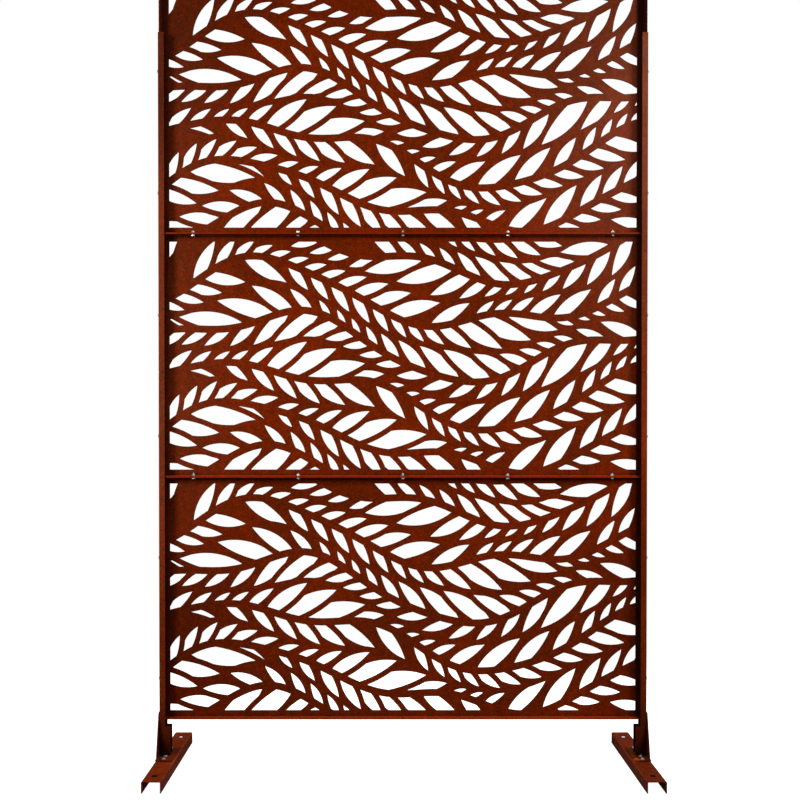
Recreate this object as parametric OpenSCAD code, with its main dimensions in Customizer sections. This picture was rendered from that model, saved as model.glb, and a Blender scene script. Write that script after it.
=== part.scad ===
// Free-standing outdoor screen: three laser cut tray panels stacked between
// folded steel posts, on two channel feet.
// X runs along the screen, Y from front to back, Z up.
// The origin is on the ground, midway between the posts.

/* [Panels] */
// Distance between the outer faces of the two posts
screen_w = 1208; // [1100:2:1300]
// Height of one tray panel
panel_h = 602; // [560:2:640]
// Height of the lowest panel above the ground
clearance_h = 120; // [100:1:160]
// Thickness of the folded sheet
sheet = 2; // [1.5:0.1:2.5]
// Inner radius of every fold
fold_r = 1.5; // [1:0.1:2]
// Solid border above and below the cut pattern
border = 17.5; // [15:0.5:24]
// Solid border at either side of the cut pattern
side_border = 21; // [15:0.5:24]

/* [Cut pattern] */
// Spacing of the stems up the panel
stem_pitch = 118; // [112:1:134]
// Width of a stem
stem_w = 18; // [14:1:22]
// Metal left between two leaves
vein = 13.5; // [10:0.5:16]
// Height of the slow wave that all the stems share
sway = 76; // [40:1:90]
// Height of the shorter wave that sets the stems apart
ripple = 25; // [10:1:30]
// How far a leaf leans along its stem, as a share of its reach
lean = 1.45; // [1:0.05:1.6]
// Bulge of a leaf's outer side, as a share of its length
outer_bulge = 0.185; // [0.15:0.005:0.22]
// Bulge of a leaf's inner side, as a share of its length
inner_bulge = 0.1; // [0.08:0.005:0.13]

/* [Posts] */
// Depth of a post, front to back
post_depth = 28; // [27:0.5:36]
// Width of a post's flanges beside the panels
post_flange = 15; // [12:0.5:20]
// Width of its flanges below the panels
heel_flange = 27; // [22:0.5:36]
// Height of the top of the wide stretch
heel_top = 103; // [80:1:116]
// Height of the joint between the lower and the upper post
post_split = 981; // [900:1:1040]
// Height of the top of the posts
post_top = 1817; // [1760:1:1860]

/* [Feet] */
// Length of a foot
foot_len = 396; // [320:4:520]
// Width of a foot
foot_w = 46; // [44:0.5:60]
// Height of a foot
foot_h = 28; // [22:1:40]
// Diameter of the fixing hole near each end of a foot
foot_hole_d = 12; // [8:0.5:14]
// Distance from the end of a foot to the middle of its hole
foot_hole_inset = 40; // [30:1:60]
// Thickness of the foot brackets
bracket_t = 3; // [2:0.5:4]
// Length of a bracket's base plate, front to back
bracket_len = 106; // [104:2:140]
// Height of the top of a bracket's side plate
bracket_top = 137; // [120:1:180]

/* [Fasteners] */
// Thread diameter of the bolts
bolt_d = 5; // [5:1:6]
// Spacing of the bolts along a seam
seam_pitch = 260; // [200:10:270]
// Height of a panel's lower side bolt above its bottom edge
side_bolt_z = 101; // [60:1:120]
// Distance from there up to its other side bolt
side_bolt_rise = 300; // [260:5:360]

/* [Hidden] */
$fn = 48;

steel = "sienna";
dark_steel = "saddlebrown";
zinc = "silver";

// Trays: they fill the posts from the back flange to the fold of the front one.
fold_out = fold_r + sheet;
panel_w = screen_w - 2 * sheet;
panel_depth = post_depth - 2 * sheet - fold_r;
panel_back = post_depth / 2 - sheet;
relief = fold_out + 1;
corner_gap = 0.5;
tray_z = [for (i = [0 : 2]) clearance_h + i * panel_h];

// Feet, brackets and the foot of the posts
foot_outer = screen_w / 2 + bracket_t;
foot_mid = foot_outer - foot_w / 2;
foot_hole_y = foot_len / 2 - foot_hole_inset;
base_z = foot_h + bracket_t;
base_w = 41;
side_foot = 39;
shoulder = 11;
chamfer = 3;
post_foot = base_z + fold_r;
joint_gap = 1;

// Fasteners
hole_d = bolt_d + 0.5;
head_h = bolt_d / 2 + 1;
nut_h = bolt_d / 2 + 2.2;
hex_flats = 2 * bolt_d - 2;
hex_corners = hex_flats / cos(30);
nut_play = 0.1;
thread_out = 2;
thread_chamfer = 0.6;
seam_xs = [for (i = [-2 : 2]) i * seam_pitch];
side_bolt_zs = [for (z = tray_z, i = [0, 1]) z + side_bolt_z + i * side_bolt_rise];
foot_bolt_x = foot_outer - base_w / 2;
foot_bolt_ys = [-45, -24, 24, 45];

// ---------------------------------------------------------------- pattern
// The stems are waves that run the length of the panel. Leaves grow from both
// sides of each one and lean along it. A leaf is the space between two arcs,
// trimmed by its own stem, by the middle line towards the next stem, and by
// the two leaves before it.
pat_w = panel_w - 2 * side_border;
pat_h = panel_h - 2 * border;
way = [1, -1, 1, 1, -1, 1, -1, 1];
first_stem = -2;
last_stem = first_stem + len(way) - 1;
lowest_stem = 0.64;
flutter = 9;
sway_period = 1150;
ripple_period = 560;
flutter_period = 330;
share_period = 420;
run_in = 150;

// How leaves are laid out along a stem: `way` holds each stem's direction.
leaf_tail = 0.24;
leaf_fill = 0.8;
least_pitch = 20;
shortest_step = 12;
longest_step = 105;
search_step = 2;
stagger = 13;
bed_step = 12;
least_reach = 17;
overhang = 16;

function wave(x, period, phase) = sin(360 * x / period + phase);
function stem_y(k, x) = stem_pitch * (k + lowest_stem)
    + sway * wave(x, sway_period, 25)
    + ripple * wave(x, ripple_period, 95 * k)
    + flutter * wave(x, flutter_period, 200 * k + 40);
function slope(k, x) = (stem_y(k, x + 5) - stem_y(k, x - 5)) / 10;
function stretch(k, x) = sqrt(1 + pow(slope(k, x), 2));

// The line between stem k and the next one up wanders about the middle.
function share(k, x) = 0.5 + 0.1 * wave(x, share_period, 130 * k);
function mid_y(k, x) = stem_y(k, x) + share(k, x) * (stem_y(k + 1, x) - stem_y(k, x));
function edge_y(k, side, x) = mid_y(side > 0 ? k : k - 1, x) - side * vein / 2;
function reach(k, side, x) = side * (edge_y(k, side, x) - stem_y(k, x)) / stretch(k, x);

// A leaf's axis runs from a root on the stem to a tip on the middle line.
function root(k, x) = [x, stem_y(k, x)];
function tip(k, side, x) =
    let (
        along = [1, slope(k, x)] / stretch(k, x),
        out = side * [-along[1], along[0]],
        far = root(k, x) + reach(k, side, x) * (out + way[k - first_stem] * lean * along)
    )
    [far[0], edge_y(k, side, far[0])];
function axis(k, side, x) = tip(k, side, x) - root(k, x);
function middle(k, side, x) = (tip(k, side, x) + root(k, x)) / 2;
function across(u, v) = abs(u[0] * v[1] - u[1] * v[0]) / norm(u);

// Leaves follow one another as soon as a vein fits between them.
function leaf_pitch(k, side, x) =
    max(least_pitch, leaf_fill * (outer_bulge + inner_bulge) * norm(axis(k, side, x)) + vein);
function apart(k, side, x, y) =
    let (
        a = axis(k, side, x),
        p = max(leaf_pitch(k, side, x), leaf_pitch(k, side, y))
    )
    across(a, middle(k, side, y) - middle(k, side, x)) > p
    && across(a, tip(k, side, y) - tip(k, side, x)) > p / 2;
function hop(k, side, x, y) =
    y > x + longest_step || apart(k, side, x, y) ? y : hop(k, side, x, y + search_step);
function stations(k, side, x) =
    x > pat_w + run_in ? []
        : concat([x], stations(k, side, hop(k, side, x, x + shortest_step)));

// A disc whose rim runs from a to b and bulges by s to the left of that line.
module arc_disc(a, b, s, grow) {
    chord = b - a;
    r = (chord * chord / 4 + s * s) / (2 * s);
    left = [-chord[1], chord[0]] / norm(chord);
    translate((a + b) / 2 + left * (s - r))
        circle(r = r + grow, $fn = 96);
}

module leaf(k, side, x, grow = 0) {
    end = tip(k, side, x);
    start = root(k, x) - leaf_tail * axis(k, side, x);
    long = norm(axis(k, side, x));
    outer_left = side * way[k - first_stem] > 0;
    intersection() {
        arc_disc(start, end, (outer_left ? outer_bulge : inner_bulge) * long, grow);
        arc_disc(end, start, (outer_left ? inner_bulge : outer_bulge) * long, grow);
    }
}

function within(v, top) = v > -overhang && v < top + overhang;
function in_window(p) = within(p[0], pat_w) && within(p[1], pat_h);

module leaf_row(k, side) {
    ahead = stations(k, side, stagger * abs(k) - run_in);
    count = len(ahead);
    xs = way[k - first_stem] > 0 ? ahead : [for (i = [1 : count]) ahead[count - i]];
    for (i = [2 : count - 1])
        if (reach(k, side, xs[i]) > least_reach && in_window(middle(k, side, xs[i])))
            difference() {
                leaf(k, side, xs[i]);
                leaf(k, side, xs[i - 1], vein);
                leaf(k, side, xs[i - 2], vein);
            }
}

// Everything between one edge of a stem and the line towards the next stem
module leaf_bed(k, side) {
    xs = [-run_in : bed_step : pat_w + run_in];
    near = [for (x = xs) [x, stem_y(k, x) + side * stem_w / 2 * stretch(k, x)]];
    far = [for (x = xs) [x, edge_y(k, side, x)]];
    count = len(near);
    polygon(concat(near, [for (i = [1 : count]) far[count - i]]));
}

module openings() {
    intersection() {
        square([pat_w, pat_h]);
        for (k = [first_stem : last_stem], side = [-1, 1])
            intersection() {
                leaf_bed(k, side);
                leaf_row(k, side);
            }
    }
}

// ------------------------------------------------------------ sheet metal
// Quarter ring of a fold, seen along the fold
module fold_section(t = sheet) {
    intersection() {
        difference() {
            circle(r = fold_r + t);
            circle(r = fold_r);
        }
        square(fold_r + t);
    }
}

// Folded corner: its outside is at 0, and its legs run to -X and to -Y.
module corner_section(run_x, run_y, t = sheet) {
    r = fold_r + t;
    translate([-r, -r])
        fold_section(t);
    translate([-run_x, -t])
        square([run_x - r, t]);
    translate([-t, -run_y])
        square([t, run_y - r]);
}

module on_side(side) {
    mirror([side < 0 ? 1 : 0, 0, 0])
        children();
}

// ------------------------------------------------------------------ trays
// One flange along Z. The sheet it is folded from lies beyond -X, behind it.
// The fold stops short of the corners by `relief`, and the flange by `setback`.
module tray_flange(length, setback) {
    translate([-fold_out, -fold_out, relief])
        linear_extrude(height = length - 2 * relief)
            fold_section();
    translate([-sheet, -panel_depth, setback])
        cube([sheet, panel_depth - fold_out, length - 2 * setback]);
}

// The whole tray, open to the front, with its back lower left corner at 0
module tray_blank() {
    flat_w = panel_w - 2 * fold_out;
    flat_h = panel_h - 2 * fold_out;
    rotate([90, 0, 0])
        linear_extrude(height = sheet)
            difference() {
                translate([fold_out, fold_out])
                    square([flat_w, flat_h]);
                translate([side_border, border])
                    openings();
            }
    for (i = [0, 1]) {
        translate([i * panel_w, 0, 0])
            mirror([1 - i, 0, 0])
                tray_flange(panel_h, sheet + corner_gap);
        translate([panel_w, 0, i * panel_h])
            mirror([0, 0, 1 - i])
                rotate([0, -90, 0])
                    tray_flange(panel_w, 0);
    }
}

module tray(z0) {
    difference() {
        translate([-panel_w / 2, panel_back, z0])
            tray_blank();
        for (x = seam_xs)
            translate([x, 0, z0 - 1])
                cylinder(d = hole_d, h = panel_h + 2);
        for (i = [0, 1])
            translate([-screen_w / 2, 0, z0 + side_bolt_z + i * side_bolt_rise])
                rotate([0, 90, 0])
                    cylinder(d = hole_d, h = screen_w);
    }
}

module panel_bottom() {
    color(steel)
        tray(tray_z[0]);
}

module panel_middle() {
    color(steel)
        tray(tray_z[1]);
}

module panel_top() {
    color(steel)
        tray(tray_z[2]);
}

// ------------------------------------------------------------------ posts
// Upright channel, its web on the outside and its open side to the panels
module channel(z0, z1, flange) {
    translate([screen_w / 2, 0, z0])
        linear_extrude(height = z1 - z0)
            for (i = [0, 1])
                mirror([0, i])
                    translate([0, post_depth / 2])
                        corner_section(flange, post_depth / 2);
}

module post_holes() {
    for (z = side_bolt_zs)
        translate([screen_w / 2 - 2 * sheet, 0, z])
            rotate([0, 90, 0])
                cylinder(d = hole_d, h = 4 * sheet);
}

module post_lower() {
    difference() {
        union() {
            channel(post_foot, post_split, post_flange);
            channel(post_foot, heel_top, heel_flange);
        }
        post_holes();
    }
}

module post_upper() {
    difference() {
        channel(post_split + joint_gap, post_top, post_flange);
        post_holes();
    }
}

module post_lower_left() {
    color(dark_steel)
        on_side(-1)
            post_lower();
}

module post_lower_right() {
    color(dark_steel)
        on_side(1)
            post_lower();
}

module post_upper_left() {
    color(dark_steel)
        on_side(-1)
            post_upper();
}

module post_upper_right() {
    color(dark_steel)
        on_side(1)
            post_upper();
}

// ------------------------------------------------------- brackets and feet
module foot_bolt_holes() {
    for (y = foot_bolt_ys)
        translate([foot_bolt_x, y, 0])
            cylinder(d = hole_d, h = 2 * base_z);
}

// Outline of the bracket seen from the side: its side plate is narrower than
// its base plate, and tapers.
module bracket_outline() {
    half = bracket_len / 2;
    translate([-half, 0])
        square([bracket_len, base_z]);
    polygon([
        [-side_foot, 0], [side_foot, 0], [side_foot, post_foot],
        [shoulder, bracket_top - chamfer], [shoulder - chamfer, bracket_top],
        [chamfer - shoulder, bracket_top], [-shoulder, bracket_top - chamfer],
        [-side_foot, post_foot]
    ]);
}

module bracket() {
    difference() {
        intersection() {
            translate([foot_outer, 0, foot_h])
                rotate([90, 0, 0])
                    linear_extrude(height = bracket_len, center = true)
                        mirror([0, 1])
                            corner_section(base_w, bracket_top - foot_h, bracket_t);
            translate([foot_outer - foot_w, 0, 0])
                rotate([90, 0, 90])
                    linear_extrude(height = 2 * foot_w)
                        bracket_outline();
        }
        foot_bolt_holes();
    }
}

module foot() {
    difference() {
        translate([foot_mid, 0, foot_h])
            rotate([90, 0, 0])
                linear_extrude(height = foot_len, center = true)
                    for (i = [0, 1])
                        mirror([i, 0])
                            translate([foot_w / 2, 0])
                                corner_section(foot_w / 2, foot_h);
        foot_bolt_holes();
        for (side = [-1, 1])
            translate([foot_mid, side * foot_hole_y, 0])
                cylinder(d = foot_hole_d, h = 2 * foot_h);
    }
}

module bracket_left() {
    color(dark_steel)
        on_side(-1)
            bracket();
}

module bracket_right() {
    color(dark_steel)
        on_side(1)
            bracket();
}

module foot_left() {
    color(steel)
        on_side(-1)
            foot();
}

module foot_right() {
    color(steel)
        on_side(1)
            foot();
}

// -------------------------------------------------------------- fasteners
// Hexagon with its far face chamfered
module hexagon(height) {
    face_r = 0.46 * hex_corners;
    intersection() {
        cylinder(d = hex_corners, h = height, $fn = 6);
        cylinder(r1 = face_r + height / tan(30), r2 = face_r, h = height);
    }
}

// Bolt pointing up, with the underside of its head at 0
module bolt(grip) {
    end = grip + nut_h + thread_out;
    mirror([0, 0, 1])
        hexagon(head_h);
    rotate_extrude()
        polygon([
            [0, -head_h / 2], [bolt_d / 2, -head_h / 2], [bolt_d / 2, end - thread_chamfer],
            [bolt_d / 2 - thread_chamfer, end], [0, end]
        ]);
}

module nut() {
    difference() {
        hexagon(nut_h);
        translate([0, 0, -1])
            cylinder(d = bolt_d + nut_play, h = nut_h + 2);
    }
}

// Places along a seam, at the height of a sheet's outer face
module along_seam(z) {
    for (x = seam_xs)
        translate([x, 0, z])
            children();
}

// Places up the right side, pointing inwards
module up_side(x) {
    for (z = side_bolt_zs)
        translate([x, 0, z])
            rotate([0, -90, 0])
                children();
}

// Places on the right foot, pointing down
module on_foot(z) {
    for (y = foot_bolt_ys)
        translate([foot_bolt_x, y, z])
            rotate([180, 0, 0])
                children();
}

module seam_bolts_lower() {
    color(zinc)
        along_seam(tray_z[1] - sheet)
            bolt(2 * sheet);
}

module seam_nuts_lower() {
    color(zinc)
        along_seam(tray_z[1] + sheet)
            nut();
}

module seam_bolts_upper() {
    color(zinc)
        along_seam(tray_z[2] - sheet)
            bolt(2 * sheet);
}

module seam_nuts_upper() {
    color(zinc)
        along_seam(tray_z[2] + sheet)
            nut();
}

module side_bolts_left() {
    color(zinc)
        on_side(-1)
            up_side(screen_w / 2)
                bolt(2 * sheet);
}

module side_nuts_left() {
    color(zinc)
        on_side(-1)
            up_side(screen_w / 2 - 2 * sheet)
                nut();
}

module side_bolts_right() {
    color(zinc)
        on_side(1)
            up_side(screen_w / 2)
                bolt(2 * sheet);
}

module side_nuts_right() {
    color(zinc)
        on_side(1)
            up_side(screen_w / 2 - 2 * sheet)
                nut();
}

module foot_bolts_left() {
    color(zinc)
        on_side(-1)
            on_foot(base_z)
                bolt(bracket_t + sheet);
}

module foot_nuts_left() {
    color(zinc)
        on_side(-1)
            on_foot(foot_h - sheet)
                nut();
}

module foot_bolts_right() {
    color(zinc)
        on_side(1)
            on_foot(base_z)
                bolt(bracket_t + sheet);
}

module foot_nuts_right() {
    color(zinc)
        on_side(1)
            on_foot(foot_h - sheet)
                nut();
}

panel_bottom();
panel_middle();
panel_top();
post_lower_left();
post_lower_right();
post_upper_left();
post_upper_right();
bracket_left();
bracket_right();
foot_left();
foot_right();
seam_bolts_lower();
seam_nuts_lower();
seam_bolts_upper();
seam_nuts_upper();
side_bolts_left();
side_nuts_left();
side_bolts_right();
side_nuts_right();
foot_bolts_left();
foot_nuts_left();
foot_bolts_right();
foot_nuts_right();
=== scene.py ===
import math

import bmesh
import bpy
from mathutils import Matrix, Vector


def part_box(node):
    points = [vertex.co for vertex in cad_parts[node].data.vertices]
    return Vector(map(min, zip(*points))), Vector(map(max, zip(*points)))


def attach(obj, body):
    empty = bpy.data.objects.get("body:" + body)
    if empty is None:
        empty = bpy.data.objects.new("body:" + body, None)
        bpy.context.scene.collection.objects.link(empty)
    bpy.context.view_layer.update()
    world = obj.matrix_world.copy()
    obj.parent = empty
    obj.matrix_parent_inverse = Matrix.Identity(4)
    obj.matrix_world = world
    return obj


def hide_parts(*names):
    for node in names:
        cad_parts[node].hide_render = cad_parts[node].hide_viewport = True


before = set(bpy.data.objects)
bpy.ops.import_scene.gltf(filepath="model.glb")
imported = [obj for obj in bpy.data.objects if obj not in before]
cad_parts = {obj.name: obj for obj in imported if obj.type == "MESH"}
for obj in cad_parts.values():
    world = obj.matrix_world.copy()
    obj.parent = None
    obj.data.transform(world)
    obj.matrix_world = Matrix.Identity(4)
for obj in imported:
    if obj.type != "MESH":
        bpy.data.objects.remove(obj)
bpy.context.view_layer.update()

MM = 0.001

# ---------------------------------------------------------------- camera
# The lens is given in pixels of the 800 x 800 picture, as is the point that
# the camera looks at straight on. The tilt is in degrees.
PICTURE = 800
FOCAL = 1065
STRAIGHT_ON = (389.0, 437.0)
SENSOR_WIDTH = 36
CAMERA_AT = Vector((-34.6, -2644.4, 851.6)) * MM
TILT_DOWN = 0.669


def make_camera():
    data = bpy.data.cameras.new("camera")
    data.sensor_width = SENSOR_WIDTH
    data.lens = SENSOR_WIDTH * FOCAL / PICTURE
    data.shift_x = 0.5 - STRAIGHT_ON[0] / PICTURE
    data.shift_y = STRAIGHT_ON[1] / PICTURE - 0.5
    camera = bpy.data.objects.new("camera", data)
    camera.location = CAMERA_AT
    camera.rotation_euler = (math.radians(90 - TILT_DOWN), 0, 0)
    bpy.context.collection.objects.link(camera)
    bpy.context.scene.camera = camera


# ---------------------------------------------------------------- shaders
def srgb(*levels):
    """A colour from its 0 to 255 picture values."""
    def linear(v):
        v /= 255
        return v / 12.92 if v <= 0.04045 else ((v + 0.055) / 1.055) ** 2.4
    return (*(linear(v) for v in levels), 1)


class Shader:
    """A node tree that is written as nested calls. Most calls give back a socket.

    Sizes and places are in millimetres here, and the object is in metres.
    """

    def __init__(self, owner):
        owner.use_nodes = True
        self.tree = owner.node_tree
        self.tree.nodes.clear()

    def put(self, socket, value):
        """Links a socket to another one, or gives it a plain value."""
        if isinstance(value, bpy.types.NodeSocket):
            self.tree.links.new(value, socket)
        else:
            socket.default_value = value

    def node(self, kind, inputs=(), **settings):
        node = self.tree.nodes.new("ShaderNode" + kind)
        for key, value in settings.items():
            setattr(node, key, value)
        for key, value in dict(inputs).items():
            self.put(node.inputs[key], value)
        return node

    # Numbers
    def math(self, operation, first, *others):
        """Works from left to right where there are more than two numbers."""
        for other in others:
            first = self.node("Math", {0: first, 1: other}, operation=operation).outputs[0]
        return first

    def times(self, *factors):
        return self.math("MULTIPLY", *factors)

    def plus(self, *parts):
        return self.math("ADD", *parts)

    def most(self, *values):
        return self.math("MAXIMUM", *values)

    def rest_of(self, share):
        return self.math("SUBTRACT", 1.0, share)

    def magnitude(self, value):
        return self.node("Math", {0: value}, operation="ABSOLUTE").outputs[0]

    def span(self, value, low, high, to_low=0.0, to_high=1.0):
        """Maps low..high onto to_low..to_high, and holds it there beyond them."""
        inputs = {
            "Value": value,
            "From Min": low, "From Max": high,
            "To Min": to_low, "To Max": to_high,
        }
        return self.node("MapRange", inputs, interpolation_type="SMOOTHSTEP").outputs["Result"]

    # Places
    def place(self, stretch=(1, 1, 1), offset=(0, 0, 0)):
        """The point on the object, in metres, stretched for grain or streaks."""
        point = self.node("TexCoord").outputs["Object"]
        inputs = {"Vector": point, "Scale": stretch, "Location": offset}
        return self.node("Mapping", inputs).outputs["Vector"]

    def axis(self, vector, name):
        return self.node("SeparateXYZ", {"Vector": vector}).outputs[name]

    def vector(self, operation, *values, output="Vector"):
        return self.node("VectorMath", dict(enumerate(values)), operation=operation).outputs[output]

    def normal(self, name="True Normal"):
        return self.node("NewGeometry").outputs[name]

    def band(self, axis, start, end, full=1.0):
        """0 to `full` from one place along an axis to another."""
        here = self.axis(self.place(), axis)
        if start > end:
            return self.span(here, end * MM, start * MM, full, 0.0)
        return self.span(here, start * MM, end * MM, 0.0, full)

    def beside(self, axis, place):
        """Metres along an axis from the nearer of `place` and its mirror image."""
        here = self.magnitude(self.axis(self.place(), axis))
        return self.magnitude(self.math("SUBTRACT", here, place * MM))

    def spot(self, centre, reach, ragged):
        """1 inside a ragged patch round a point."""
        away = self.vector("SUBTRACT", self.place(), Vector(centre) * MM)
        scaled = self.vector("MULTIPLY", away, [1 / (r * MM) for r in reach])
        out = self.vector("LENGTH", scaled, output="Value")
        out = self.plus(out, self.span(ragged, 0.3, 0.7, -0.5, 0.5))
        return self.span(out, 0.7, 1.15, 1.0, 0.0)

    # The shape round a point
    def edge(self, radius):
        """1 on edges, falling to 0 at `radius` from them."""
        rounded = self.node("Bevel", {"Radius": radius * MM}, samples=6).outputs["Normal"]
        turn = self.vector("DOT_PRODUCT", rounded, self.normal("Normal"), output="Value")
        return self.span(self.rest_of(turn), 0.005, 0.15)

    def openness(self, reach):
        """1 in the open, and less the more there is within `reach`."""
        node = self.node("AmbientOcclusion", {"Distance": reach * MM}, samples=8)
        return node.outputs["AO"]

    def recess(self, reach, low, high):
        """1 in corners and under lips."""
        return self.span(self.openness(reach), low, high, 1.0, 0.0)

    def fold(self, axis):
        """1 in the middle of a fold, where the surface is halfway turned from `axis`."""
        along = self.magnitude(self.axis(self.normal("Normal"), axis))
        return self.span(self.times(along, self.rest_of(along)), 0.04, 0.2)

    # Patterns and colours
    def noise(self, size, detail=3, roughness=0.55, stretch=(1, 1, 1), offset=(0, 0, 0)):
        """Noise of 0 to 1, whose blotches are about `size` across."""
        inputs = {
            "Vector": self.place(stretch, offset),
            "Scale": 1 / (size * MM),
            "Detail": detail,
            "Roughness": roughness,
        }
        return self.node("TexNoise", inputs).outputs["Fac"]

    def cells(self, size):
        inputs = {"Vector": self.place(), "Scale": 1 / (size * MM)}
        return self.node("TexVoronoi", inputs).outputs["Distance"]

    def ramp(self, value, *stops):
        """A colour ramp through (place, colour) stops."""
        node = self.node("ValToRGB", {"Fac": value})
        marks = node.color_ramp.elements
        while len(marks) < len(stops):
            marks.new(0.5)
        for mark, (place, colour) in zip(marks, stops):
            mark.position = place
            mark.color = colour
        return node.outputs["Color"]

    def mix(self, share, a, b):
        node = self.node("Mix", data_type="RGBA", clamp_factor=True)
        sockets = {s.identifier: s for s in node.inputs}
        for key, value in (("Factor_Float", share), ("A_Color", a), ("B_Color", b)):
            self.put(sockets[key], value)
        return {s.identifier: s for s in node.outputs}["Result_Color"]

    # Shaders
    def bump(self, height, strength, distance):
        inputs = {"Height": height, "Strength": strength, "Distance": distance * MM}
        return self.node("Bump", inputs).outputs["Normal"]

    def blend(self, share, a, b):
        return self.node("MixShader", {0: share, 1: a, 2: b}).outputs[0]

    def surface(self, inputs):
        shader = self.node("BsdfPrincipled", inputs)
        self.node("OutputMaterial", {"Surface": shader.outputs["BSDF"]})


# ---------------------------------------------------------------- weather, painted sheen and painted shade
# Places are in millimetres. Each foot's middle is this far from the origin along
# X, and its anchor holes are this far along Y.
FOOT_AT = 584
ANCHOR_AT = 158
# Up to the first of these distances from their axis, along X and Y alike, the
# anchor holes are painted black, as painted shade for the dark inside the feet,
# and from the second on they have no effect.
ANCHOR_SHADE = (6.1, 6.6)

# A band is an axis, where along it an effect starts, where it is full, and how
# full it gets there. A painted sheen makes the upper right paler, and the left a
# little, where light glances off the coat.
SHEEN_RIGHT = ("X", 150, 620), ("Z", 650, 1750)
SHEEN_LEFT = ("X", -350, -620), ("Z", 300, 900, 0.35)

# Painted shade: the coat is darker towards both ends, and at three of the
# corners more, where less light falls on it. The feet are darker towards their
# fronts, and the right foot more.
SHADED_BOTTOM = ("Z", 700, 150, 0.14)
SHADED_TOP = ("Z", 1300, 1850, 0.14)
SHADED_LOW_CORNERS = ("Z", 720, 420)
SHADED_HIGH_CORNER = ("Z", 1300, 1680)
SHADED_LEFT = ("X", -250, -590, 0.32)
SHADED_RIGHT = ("X", 400, 560, 0.2)
DARKER_FOOT_FRONTS = ("Y", 110, -60, 0.22)
DARKER_RIGHT_FOOT = ("X", 0, 600, 0.15)

# Painted shadows: of the post flanges on the panels beside the posts, and of the
# side plates on the posts' lower ends, with painted shade there; and the side
# plates are darker.
SHADOW_BY_LEFT_POST = ("X", -530, -575, 0.7)
SHADOW_BY_RIGHT_POST = ("X", 576, 585, 0.85)
SHADOW_ON_HEEL = ("Z", 190, 110, 0.4)
SHADOW_ON_HEEL_END = ("Z", 110, 45, 0.3)
SHADOW_BY_SIDE_PLATE = ("Z", 160, 60, 0.95)
DARKER_SIDE_PLATE = ("Z", 28, 34, 0.6)

# Where bare steel has rusted through at the front corner of one base plate.
RUST_AT = (571, -43, 31)
RUST_REACH = (10, 11, 5)


def bands(s, *several):
    """What bands that cross have in common."""
    return s.times(*(s.band(*one) for one in several))


def painted_sheen(s, clouds):
    """How strong the painted sheen is: paler where light glances off the coat."""
    both = s.most(bands(s, *SHEEN_RIGHT), bands(s, *SHEEN_LEFT))
    return s.times(both, s.span(clouds, 0.3, 0.7, 0.7, 1.3))


def painted_falloff(s, low_left, high_left):
    """How far painted shade darkens the coat where less light falls. The shares are those of the
    two left corners.
    """
    high = s.band(*SHADED_HIGH_CORNER, high_left)
    low = s.band(*SHADED_LOW_CORNERS, low_left)
    left = s.times(s.most(high, low), s.band(*SHADED_LEFT))
    right = bands(s, SHADED_LOW_CORNERS, SHADED_RIGHT)
    return s.plus(s.most(s.band(*SHADED_BOTTOM), s.band(*SHADED_TOP)), left, right)


# Each of these gives where painted shadow and shade darken a piece, and how far it
# is darker towards its ends and corners.
def on_panel(s):
    # Painted shadow of the post flanges on the panels beside the posts.
    left = s.times(s.band(*SHADOW_BY_LEFT_POST), s.recess(40, 0.4, 0.9))
    return s.most(s.band(*SHADOW_BY_RIGHT_POST), left), painted_falloff(s, low_left=0.9, high_left=0.85)


def on_post(s):
    # Painted shade on the posts' lower ends, and painted shadow of the side plates beside them.
    whole = s.plus(s.band(*SHADOW_ON_HEEL), s.band(*SHADOW_ON_HEEL_END))
    beside = s.times(s.band(*SHADOW_BY_SIDE_PLATE), s.recess(60, 0.6, 0.95))
    return s.most(whole, beside), painted_falloff(s, low_left=0.0, high_left=1.27)


def on_foot(s):
    # The anchor holes are painted black, as painted shade for the dark inside the feet; the side
    # plates are darker.
    out = s.most(s.beside("X", FOOT_AT), s.beside("Y", ANCHOR_AT))
    shaded_holes = s.span(out, ANCHOR_SHADE[0] * MM, ANCHOR_SHADE[1] * MM, 1.0, 0.0)
    darkening = s.plus(s.band(*DARKER_FOOT_FRONTS), s.band(*DARKER_RIGHT_FOOT))
    return s.most(s.band(*DARKER_SIDE_PLATE), shaded_holes), darkening


# ---------------------------------------------------------------- steel
# Painted sheen: the pale colour of light glancing off the coat.
SHEEN_PALE = srgb(168, 122, 96)
DARK_GRAIN = srgb(44, 12, 4)
PALE_DUST, DARK_DUST = srgb(170, 84, 28), srgb(52, 12, 3)
BLOOM = srgb(146, 58, 6)
# Painted highlight where the folds catch the light.
FOLD_HIGHLIGHT = srgb(150, 74, 46)
BURNT_RIM = srgb(26, 7, 3)
CUT_WALL_DARK, CUT_WALL_PALE = srgb(22, 6, 3), srgb(52, 16, 7)
# The colour the coat darkens to: painted shade where less light falls.
DARKER_TONE = srgb(24, 5, 2)
# The colour of painted shadow and painted shade.
DARK_SHADE = srgb(16, 4, 2)
RUST_DARK, RUST_PALE = srgb(116, 38, 3), srgb(138, 54, 8)

# How much each noise adds to the tone, and where the three tones of a coat lie.
TONE_SHARES = {"clouds": 0.27, "mottle": 0.34, "specks": 0.24, "runs": 0.15}
TONE_STOPS = (0.4, 0.5, 0.6)


def steel_noises(s, seed):
    """The noises of a coat, from its widest blotches to its finest grain."""
    at = (seed, seed * 0.7, seed * 1.3)
    return {
        "clouds": s.noise(240, detail=2, offset=at),
        "mottle": s.noise(13, offset=at),
        "runs": s.noise(11, stretch=(1, 1, 0.1), offset=at),
        "bloom": s.noise(7, detail=5),
        "specks": s.noise(4.2, detail=2, roughness=0.6, offset=at),
        "dust": s.noise(2.8, roughness=0.75, offset=(1, seed, 2)),
        "grain": s.noise(1.3, roughness=0.7, offset=at),
    }


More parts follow.
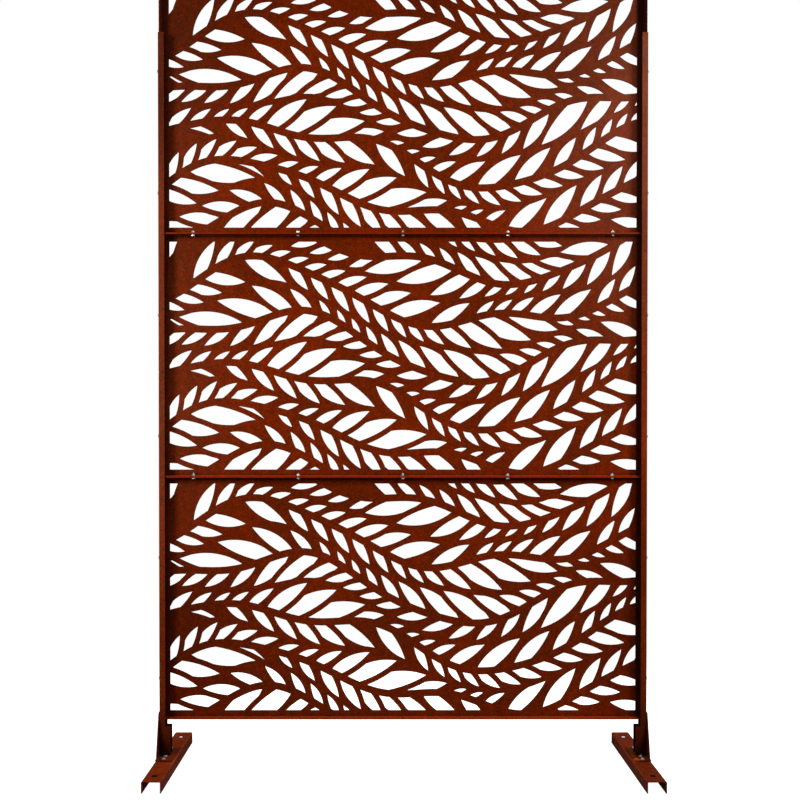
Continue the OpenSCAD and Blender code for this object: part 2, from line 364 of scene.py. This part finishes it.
def coat_colour(s, noise, tones, sheen):
    """Three tones in blotches, with a painted sheen, grain, dust and a bloom of rust."""
    tone = s.plus(*(s.times(noise[name], share) for name, share in TONE_SHARES.items()))
    colour = s.ramp(tone, *zip(TONE_STOPS, tones))
    # Painted sheen, paler where light glances off the coat.
    colour = s.mix(s.times(painted_sheen(s, noise["clouds"]), sheen), colour, SHEEN_PALE)
    colour = s.mix(s.span(noise["grain"], 0.42, 0.72, 0.0, 0.5), colour, DARK_GRAIN)
    colour = s.mix(s.span(noise["dust"], 0.5, 0.75, 0.0, 0.3), colour, PALE_DUST)
    colour = s.mix(s.span(noise["dust"], 0.5, 0.25, 0.0, 0.4), colour, DARK_DUST)
    bloom = s.times(s.span(noise["bloom"], 0.62, 0.7), s.span(noise["clouds"], 0.48, 0.6), 0.3)
    return s.mix(bloom, colour, BLOOM)


def sheet_edges(s, colour, edge_shading, on_sheet, facing_up):
    """The openings have a burnt rim. The flanges' tips get a painted highlight, and
    the flanges that face up a fainter one, for the light from above.
    """
    edges = s.edge(2.4)
    colour = s.mix(s.times(edges, on_sheet, 0.92), colour, BURNT_RIM)
    height = s.axis(s.place(), "Z")
    # Painted highlight on the flange tips, stronger lower down.
    lit_tips = s.times(edges, s.rest_of(on_sheet), s.span(height, 0.7, 1.4, 0.65, 0.3))
    colour = s.mix(lit_tips, colour, edge_shading)
    # Painted highlight on faces turned up, for the light from above.
    return s.mix(s.times(facing_up, 0.3), colour, edge_shading)


def cut_walls(s, colour, on_sheet):
    """The walls of the openings are scorched, in streaks through the sheet."""
    side_on = s.span(s.magnitude(s.axis(s.normal(), "Y")), 0.2, 0.35, 1.0, 0.0)
    scorch = s.mix(s.noise(3, detail=2, stretch=(1, 0.1, 1)), CUT_WALL_DARK, CUT_WALL_PALE)
    return s.mix(s.times(side_on, on_sheet), colour, scorch)


def steel_coat(name, tones, specular, fold_axis, shading, edge_shading, sheen=0.0, cut_face=None, seed=0.0):
    """Rust-brown weathered coat: clouds, mottling, run marks, grain, and a painted
    highlight on the folds.

    The fold axis is the axis that every fold's surface turns to or from. The
    sheen argument is how strong the painted sheen is, the shading function gives
    where painted shadow and shade fall and how far the coat darkens towards its
    ends and corners, and the edge colour is painted on its edges: a painted
    highlight on the panels' flanges, painted shade on the posts' edges, and pale
    edges on the feet. `cut_face` is the depth, in metres, beyond which the walls
    are laser cut.
    """
    material = bpy.data.materials.new(name)
    s = Shader(material)
    noise = steel_noises(s, seed)
    colour = coat_colour(s, noise, tones, sheen)
    # Painted highlight along the folds, where they catch the light.
    fold_highlight = s.times(s.fold(fold_axis), s.span(noise["runs"], 0.35, 0.6, 0.15, 0.5))
    colour = s.mix(fold_highlight, colour, FOLD_HIGHLIGHT)
    # Painted shade darkens the corners and recesses.
    grime_and_corner_shade = s.times(s.recess(16, 0.35, 0.8), 0.7)
    # Edges get the edge colour: painted shade on the posts' edges, and pale edges on the feet.
    if cut_face is None:
        colour = s.mix(s.times(s.edge(1.2), 0.5), colour, edge_shading)
    else:
        on_sheet = s.math("GREATER_THAN", s.axis(s.place(), "Y"), cut_face)
        # How far a face turns up; such faces get a painted highlight and no painted corner shade.
        facing_up = s.span(s.axis(s.normal(), "Z"), 0.5, 0.9)
        colour = sheet_edges(s, colour, edge_shading, on_sheet, facing_up)
        # No painted corner shade on faces turned up.
        grime_and_corner_shade = s.times(grime_and_corner_shade, s.rest_of(facing_up))
    # Painted shadows of the posts and side plates, and painted shade towards the ends and corners.
    painted_shade, darkening = shading(s)
    # Painted shade where less light falls, towards the ends and corners.
    colour = s.mix(darkening, colour, DARKER_TONE)
    colour = s.mix(s.most(grime_and_corner_shade, painted_shade), colour, DARK_SHADE)
    rust = s.ramp(s.noise(3, detail=4), (0.35, RUST_DARK), (0.6, RUST_PALE))
    colour = s.mix(s.spot(RUST_AT, RUST_REACH, s.noise(5, detail=4)), colour, rust)
    if cut_face is not None:
        colour = cut_walls(s, colour, on_sheet)
    height = s.plus(s.times(noise["grain"], 0.6), s.times(s.cells(2.6), 0.4))
    s.surface({
        "Base Color": colour,
        "Roughness": s.span(noise["mottle"], 0.3, 0.7, 0.5, 0.7),
        "Metallic": 0.0,
        "Specular IOR Level": specular,
        "Normal": s.bump(height, 0.3, 0.2),
    })
    return material


SHEET = 2 * MM
PANEL_COAT = steel_coat(
    "panel_coat", (srgb(86, 28, 5), srgb(108, 30, 2), srgb(130, 35, 1)),
    specular=0.005, fold_axis="Y", shading=on_panel, edge_shading=srgb(160, 40, 1), sheen=0.12,
    cut_face=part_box("panel_bottom")[1].y - SHEET - 0.05 * MM,
)
POST_COAT = steel_coat(
    "post_coat", (srgb(92, 31, 5), srgb(112, 35, 3), srgb(132, 42, 5)),
    specular=0.01, fold_axis="Y", shading=on_post, edge_shading=srgb(44, 13, 5), sheen=0.18, seed=3.7,
)
FOOT_COAT = steel_coat(
    "foot_coat", (srgb(76, 22, 3), srgb(98, 30, 6), srgb(118, 42, 12)),
    specular=0.002, fold_axis="Z", shading=on_foot, edge_shading=srgb(112, 52, 34), seed=5.9,
)


def is_fastener(name):
    return "bolts" in name or "nuts" in name


def dress_steel():
    for name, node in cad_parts.items():
        if is_fastener(name):
            continue
        coat = {"panel": PANEL_COAT, "post": POST_COAT}.get(name.split("_")[0], FOOT_COAT)
        node.data.materials.clear()
        node.data.materials.append(coat)


# ---------------------------------------------------------------- fasteners
# M5, with the head and nut of the CAD model.
BOLT_R = 2.5 * MM
HEX_FLATS = 7.97 * MM
FACE_R = 0.47 * HEX_FLATS
CHAMFER = math.radians(30)
HEAD_H = 3.46 * MM
WASHER_FACE_H = 0.3 * MM
DISH = 0.25 * MM
THREAD_PITCH = 0.8 * MM
THREAD_DEPTH = 0.43 * MM
TIP_CHAMFER = 0.6 * MM
COUNTERSINK = 0.4 * MM
NUT_SLACK = 0.05 * MM
ROUND = 48
# Each fastener is turned this much further than the one before it.
TURN = math.radians(137.5)
SMOOTH_BELOW = math.radians(28)
# Points closer than this are one point, in a CAD mesh and in a new one.
SAME_IN_CAD = 0.01 * MM
SAME = 0.002 * MM

ZINC_DARK, ZINC_PALE = srgb(118, 120, 122), srgb(184, 185, 187)
ZINC_GRIME = srgb(92, 66, 50)

X, Y, Z = Vector((1, 0, 0)), Vector((0, 1, 0)), Vector((0, 0, 1))
# How each row of fasteners lies: where its own x, y and z point, z being
# from the head towards the nut.
LIE = {
    "seam": (X, Y, Z),
    "foot": (X, -Y, -Z),
    "side_left": (Z, -Y, X),
    "side_right": (Z, Y, -X),
}


def zinc_plate(name):
    """Zinc plating: grey, faintly clouded, with fine brushed marks."""
    material = bpy.data.materials.new(name)
    s = Shader(material)
    marks = s.noise(0.5, detail=2, stretch=(1, 1, 0.2))
    colour = s.ramp(s.noise(3.5), (0.35, ZINC_DARK), (0.65, ZINC_PALE))
    grime_and_corner_shade = s.span(s.noise(6, detail=4, offset=(3, 1, 2)), 0.5, 0.7, 0.0, 0.55)
    s.surface({
        "Base Color": s.mix(grime_and_corner_shade, colour, ZINC_GRIME),
        "Roughness": s.span(marks, 0.3, 0.7, 0.26, 0.42),
        "Metallic": 0.95,
        "Normal": s.bump(marks, 0.2, 0.05),
    })
    return material


def solids_of(name):
    """(lowest, highest) corner of each separate solid in a CAD node."""
    mesh = bmesh.new()
    mesh.from_mesh(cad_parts[name].data)
    bmesh.ops.remove_doubles(mesh, verts=mesh.verts, dist=SAME_IN_CAD)
    left = set(mesh.verts)
    found = []
    while left:
        reached = [left.pop()]
        for vert in reached:
            for edge in vert.link_edges:
                other = edge.other_vert(vert)
                if other in left:
                    left.discard(other)
                    reached.append(other)
        found.append([
            Vector([pick(v.co[i] for v in reached) for i in range(3)]) for pick in (min, max)
        ])
    mesh.free()
    return sorted(found, key=lambda box: [round(c, 4) for c in box[0]])


def ring_of(mesh, ring, count=ROUND):
    """One row of vertices round the z axis, from a function of the angle."""
    row = []
    for i in range(count):
        angle = 2 * math.pi * i / ROUND
        radius, height = ring(angle)
        row.append(mesh.verts.new((radius * math.cos(angle), radius * math.sin(angle), height)))
    return row


def lathe(mesh, rings, closed=False):
    """Joins rings into a skin, capped at both ends unless it closes on itself."""
    rows = [ring_of(mesh, ring) for ring in rings]
    pairs = list(zip(rows, rows[1:]))
    if closed:
        pairs.append((rows[-1], rows[0]))
    for low, high in pairs:
        for i in range(ROUND):
            j = (i + 1) % ROUND
            mesh.faces.new((low[i], low[j], high[j], high[i]))
    if not closed:
        mesh.faces.new(rows[0][::-1])
        mesh.faces.new(rows[-1])


def circle(radius, height):
    return lambda angle: (radius, height)


def hexagon(height, drop=0):
    """A ring round the flats. With a `drop` of 1 the chamfer lowers its corners, and
    with -1 it raises them.
    """
    sixth = math.radians(60)

    def ring(angle):
        radius = HEX_FLATS / 2 / math.cos(angle % sixth - sixth / 2)
        return radius, height - drop * (radius - FACE_R) * math.tan(CHAMFER)
    return ring


def bolt_head(mesh):
    """Hexagon head below the origin: washer face, chamfered corners, shallow dish."""
    lathe(mesh, [
        circle(0.34 * HEX_FLATS, DISH - HEAD_H),
        circle(0.38 * HEX_FLATS, -HEAD_H),
        circle(FACE_R, -HEAD_H),
        hexagon(-HEAD_H, drop=-1),
        hexagon(-WASHER_FACE_H),
        circle(0.46 * HEX_FLATS, 0.05 * MM - WASHER_FACE_H),
        circle(0.45 * HEX_FLATS, 0),
    ])


def bolt_thread(mesh, length):
    """Threaded shank. Its rows follow the helix, at the root and the crest in turn."""
    root_r = BOLT_R - THREAD_DEPTH
    tip_r = BOLT_R - TIP_CHAMFER

    def row(step):
        crest = BOLT_R if step % 2 else root_r

        def ring(angle):
            height = (step / 2 - 1 + angle / (2 * math.pi)) * THREAD_PITCH
            if height <= 0:
                return root_r, 0
            if height >= length:
                return tip_r, length
            return min(crest, tip_r + length - height), height
        return ring

    steps = 2 * math.ceil(length / THREAD_PITCH) + 3
    rows = [ring_of(mesh, row(step), ROUND + 1) for step in range(steps)]
    for low, high in zip(rows, rows[1:]):
        for i in range(ROUND):
            mesh.faces.new((low[i], low[i + 1], high[i + 1], high[i]))
    mesh.faces.new(rows[0][:ROUND][::-1])
    mesh.faces.new(rows[-1][:ROUND])


def nut_body(mesh, height):
    """Hexagon nut above the origin, chamfered on both faces, with a countersunk bore."""
    bore = BOLT_R + NUT_SLACK
    lathe(mesh, [
        circle(bore, COUNTERSINK),
        circle(bore + COUNTERSINK, 0),
        circle(FACE_R, 0),
        hexagon(0, drop=-1),
        hexagon(height, drop=1),
        circle(FACE_R, height),
        circle(bore + COUNTERSINK, height),
        circle(bore, height - COUNTERSINK),
    ], closed=True)


def finish_mesh(mesh, name):
    """Turns a bmesh into a zinc-plated piece that rides on the screen."""
    bmesh.ops.remove_doubles(mesh, verts=mesh.verts, dist=SAME)
    bmesh.ops.dissolve_degenerate(mesh, edges=mesh.edges, dist=SAME)
    bmesh.ops.recalc_face_normals(mesh, faces=mesh.faces)
    for face in mesh.faces:
        face.smooth = True
    for edge in mesh.edges:
        edge.smooth = len(edge.link_faces) != 2 or edge.calc_face_angle() <= SMOOTH_BELOW
    data = bpy.data.meshes.new(name)
    mesh.to_mesh(data)
    mesh.free()
    data.materials.append(ZINC)
    piece = bpy.data.objects.new(name, data)
    bpy.context.collection.objects.link(piece)
    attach(piece, "root")
    return piece


def lie_of(name):
    for prefix in ("seam", "foot"):
        if name.startswith(prefix):
            return LIE[prefix]
    return LIE["side_left" if name.endswith("left") else "side_right"]


def make_fasteners(name):
    """Bolts or nuts with real threads and chamfers in the place of a CAD node's."""
    ways = lie_of(name)
    along = ways[2]
    axes = Matrix(ways).transposed()
    whole = bmesh.new()
    for turn, (low, high) in enumerate(solids_of(name)):
        one = bmesh.new()
        length = abs((high - low).dot(along))
        start = low if sum(along) > 0 else high
        centre = (low + high) / 2
        at = centre + along * (start - centre).dot(along)
        if "bolts" in name:
            bolt_head(one)
            bolt_thread(one, length - HEAD_H)
            at += along * HEAD_H
        else:
            nut_body(one, length)
        spin = Matrix.Rotation(TURN * (turn + len(name)), 3, "Z")
        one.transform(Matrix.Translation(at) @ (axes @ spin).to_4x4())
        data = bpy.data.meshes.new("part")
        one.to_mesh(data)
        one.free()
        whole.from_mesh(data)
        bpy.data.meshes.remove(data)
    piece = finish_mesh(whole, name + "_cut")
    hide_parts(name)


ZINC = zinc_plate("zinc_plate")

# ---------------------------------------------------------------- studio
WHITE = (1, 1, 1, 1)
AMBIENT = 0.06
FLOOR_SPAN = 60
# What the floor gives back to the object, and what the camera sees of it: a
# faintly grained paper that glows, so that it is white where light gets at it.
BOUNCE = (0.15, 0.15, 0.15, 1)
PAPER_DARK, PAPER_PALE = (0.6, 0.6, 0.6, 1), (0.63, 0.63, 0.63, 1)
GLOW = 0.7
# The glow takes a shadow from what lies within this many millimetres. It comes
# and goes between these two degrees of openness.
SHADE_REACH = 120
SHADE = (0.05, 0.45)
# Metres from the origin between which the object's shadow fades out.
SHADOW_NEAR, SHADOW_FAR = 0.7, 1.6
# In the mouths of the feet the floor is plain white. Millimetres to each side
# of the middle of a foot, and along it, between which that comes and goes.
MOUTH_HALF = (20, 23)
MOUTH_DEPTH = (-100, -125)


def seen_directly(s):
    """1 for what the camera sees itself, or in a mirror or through glass."""
    path = s.node("LightPath").outputs
    return s.most(path["Is Camera Ray"], path["Is Glossy Ray"], path["Is Transmission Ray"])


def make_world():
    world = bpy.data.worlds.new("studio")
    bpy.context.scene.world = world
    s = Shader(world)
    soft = s.node("Background", {"Color": WHITE, "Strength": AMBIENT}).outputs[0]
    white = s.node("Background", {"Color": WHITE, "Strength": 1}).outputs[0]
    s.node("OutputWorld", {"Surface": s.blend(seen_directly(s), soft, white)})


def floor_paper():
    material = bpy.data.materials.new("floor_paper")
    s = Shader(material)
    seen = seen_directly(s)
    grain = s.ramp(s.noise(1.5, detail=2), (0.3, PAPER_DARK), (0.7, PAPER_PALE))
    paper = s.node("BsdfDiffuse", {"Color": s.mix(seen, BOUNCE, grain)}).outputs[0]
    glow = s.times(seen, s.span(s.openness(SHADE_REACH), *SHADE), GLOW)
    glow = s.node("Emission", {"Strength": glow}).outputs[0]
    lit = s.node("AddShader", {0: paper, 1: glow}).outputs[0]
    white = s.node("Emission", {"Color": WHITE, "Strength": 1}).outputs[0]
    beside = s.span(s.beside("X", FOOT_AT), MOUTH_HALF[0] * MM, MOUTH_HALF[1] * MM, 1.0, 0.0)
    mouths = s.times(beside, s.band("Y", *MOUTH_DEPTH))
    far = s.span(s.vector("LENGTH", s.place(), output="Value"), SHADOW_NEAR, SHADOW_FAR)
    both = s.blend(s.times(s.most(far, mouths), seen), lit, white)
    s.node("OutputMaterial", {"Surface": both})
    return material


def make_floor():
    mesh = bmesh.new()
    bmesh.ops.create_grid(mesh, x_segments=1, y_segments=1, size=FLOOR_SPAN / 2)
    data = bpy.data.meshes.new("floor")
    mesh.to_mesh(data)
    mesh.free()
    data.materials.append(floor_paper())
    floor = bpy.data.objects.new("floor", data)
    bpy.context.collection.objects.link(floor)


def softbox(name, at, aim, size, power):
    data = bpy.data.lights.new(name, "AREA")
    data.shape = "RECTANGLE"
    data.size, data.size_y = size
    data.energy = power
    lamp = bpy.data.objects.new(name, data)
    lamp.location = at
    lamp.rotation_euler = (Vector(aim) - Vector(at)).to_track_quat("-Z", "Y").to_euler()
    lamp.visible_camera = False
    bpy.context.collection.objects.link(lamp)


def make_lamps():
    """One lamp high above, a strip to each side, and one behind. Metres and watts."""
    softbox("top", at=(0.3, -0.95, 8.0), aim=(0, 0, 0.6), size=(3.6, 2.1), power=450)
    softbox("left", at=(-2.2, -1.6, 1.65), aim=(0, 0, 1.2), size=(0.7, 1.2), power=56)
    softbox("right", at=(2.2, -1.6, 1.9), aim=(0, 0, 1.2), size=(0.7, 1.2), power=56)
    softbox("back", at=(0.8, 3.4, 3.0), aim=(0, 0, 1.0), size=(3.0, 2.0), power=150)


make_camera()
dress_steel()
for node_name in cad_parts:
    if is_fastener(node_name):
        make_fasteners(node_name)
make_world()
make_floor()
make_lamps()
bpy.context.scene.view_settings.view_transform = "Standard"
